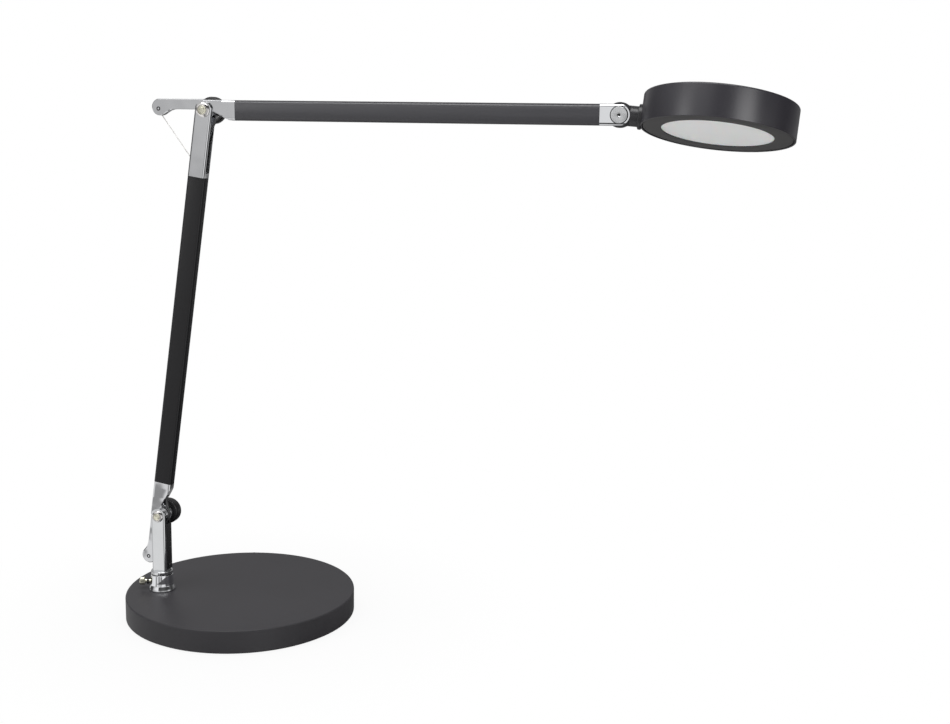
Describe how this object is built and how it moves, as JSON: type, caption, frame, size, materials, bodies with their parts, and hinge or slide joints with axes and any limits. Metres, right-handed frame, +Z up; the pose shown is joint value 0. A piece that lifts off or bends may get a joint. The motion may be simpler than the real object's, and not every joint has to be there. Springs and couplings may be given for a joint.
{
  "type": "balance desk lamp",
  "caption": "Desk lamp with a round weighted base, a swivelling post, two flat spring-balanced arms with clamp knobs and a round flat head on a tilting and twisting knuckle.",
  "frame": {"origin": "centre of the base's underside, on the table", "axes": "+Z up; +X the way the upper arm reaches; +Y the side of the arms with the clamp knobs"},
  "size_m": [0.642, 0.23, 0.5332],
  "materials": {
    "cover_paint": "satin",
    "cast_weight": "matte",
    "pad_foam": "matte",
    "steel": "satin",
    "spring_steel": "satin",
    "polished_metal": "polished",
    "nickel": "polished",
    "black_plastic": "satin",
    "black_rubber": "matte",
    "arm_anodised": "satin",
    "head_satin": "satin",
    "knuckle_black": "satin",
    "bezel_dark": "satin",
    "opal": "satin",
    "bare_aluminium": "satin",
    "board": "satin",
    "chip": "gloss"
  },
  "bodies": {
    "base": {"base_cover": "cover_paint", "base_weight": "cast_weight", "base_pad": "pad_foam", "base_screws": "steel", "socket": "polished_metal", "socket_nut": "steel", "swivel_bush": "black_plastic", "lead_gland": "black_rubber", "base_lead": "black_rubber"},
    "thumbscrew": {"thumbscrew": "nickel", "thumbscrew_collar": "black_plastic"},
    "post": {"post": "polished_metal", "post_ring": "steel", "post_cover": "black_plastic", "cover_screw": "steel", "lower_anchor_pin": "steel", "lower_pivot_bolt": "nickel", "lower_spacer": "polished_metal", "post_lead": "black_rubber"},
    "lower_knob": {"lower_knob": "black_plastic"},
    "lower_arm": {"lower_casting": "polished_metal", "lower_washers": "black_plastic", "lower_tail_pin": "steel", "lower_spring": "spring_steel", "lower_spring_pin": "steel", "lower_tube": "arm_anodised", "elbow_fork": "polished_metal", "elbow_anchor_pin": "steel", "elbow_pivot_bolt": "nickel", "elbow_spacer": "polished_metal", "lower_tube_lead": "black_rubber", "lower_balance_wire": "spring_steel", "lower_lead_loop": "black_rubber"},
    "elbow_knob": {"elbow_knob": "black_plastic"},
    "upper_arm": {"upper_casting": "polished_metal", "elbow_washers": "black_plastic", "upper_tail_pin": "steel", "upper_spring": "spring_steel", "upper_spring_pin": "steel", "upper_tube": "arm_anodised", "head_fitting": "polished_metal", "head_pivot_screw": "polished_metal", "head_pivot_nut": "steel", "upper_tube_lead": "black_rubber", "upper_balance_wire": "spring_steel", "elbow_lead_loop": "black_rubber"},
    "knuckle": {"knuckle": "knuckle_black", "neck_clip": "steel", "joint_lead": "black_rubber", "knuckle_lead": "black_rubber"},
    "head": {"head_shell": "head_satin", "head_collar": "black_plastic", "heat_spreader": "bare_aluminium", "led_board": "board", "led_chips": "chip", "diffuser": "opal", "bezel": "bezel_dark", "head_screws": "steel", "switch_module": "black_plastic"},
    "dimmer_button": {"dimmer_button": "black_plastic"}
  },
  "joints": [
    {"name": "post_swivel", "type": "hinge", "parent": "base", "child": "post", "pos_m": [-0.07663, -0.02299, 0.1016], "axis": [0, 0, 1], "range_deg": [-170, 170]},
    {"name": "thumbscrew_turn", "type": "hinge", "parent": "base", "child": "thumbscrew", "pos_m": [-0.07663, -0.02299, 0.0318], "axis": [-0.9578, -0.2874, 0], "range_deg": [0, 360]},
    {"name": "lower_knob_turn", "type": "hinge", "parent": "post", "child": "lower_knob", "pos_m": [-0.07663, -0.02299, 0.1016], "axis": [0, 1, 0], "range_deg": [-180, 180]},
    {"name": "lower_arm_lean", "type": "hinge", "parent": "post", "child": "lower_arm", "pos_m": [-0.07663, -0.02299, 0.1016], "axis": [0, 1, 0], "range_deg": [-6, 50], "deforming": ["lower_balance_wire", "lower_lead_loop"]},
    {"name": "elbow_knob_turn", "type": "hinge", "parent": "lower_arm", "child": "elbow_knob", "pos_m": [-0.01952, -0.02299, 0.50437], "axis": [0, 1, 0], "range_deg": [-180, 180]},
    {"name": "upper_arm_lift", "type": "hinge", "parent": "lower_arm", "child": "upper_arm", "pos_m": [-0.01952, -0.02299, 0.50437], "axis": [0, -1, 0], "range_deg": [-50, 70], "deforming": ["upper_balance_wire", "elbow_lead_loop"]},
    {"name": "head_tilt", "type": "hinge", "parent": "upper_arm", "child": "knuckle", "pos_m": [0.37318, -0.02299, 0.50615], "axis": [0, -1, 0], "range_deg": [-65, 70], "deforming": ["joint_lead"]},
    {"name": "head_twist", "type": "hinge", "parent": "knuckle", "child": "head", "pos_m": [0.37318, -0.02299, 0.50615], "axis": [0.9971, 0, -0.0767], "range_deg": [-90, 90]},
    {"name": "dimmer_button_press", "type": "slide", "parent": "head", "child": "dimmer_button", "axis": [-0.0749, -0.2147, -0.9738], "range_m": [0, 0.001], "stiffness_N_per_m": 500, "springref_m": -0.0006}
  ]
}
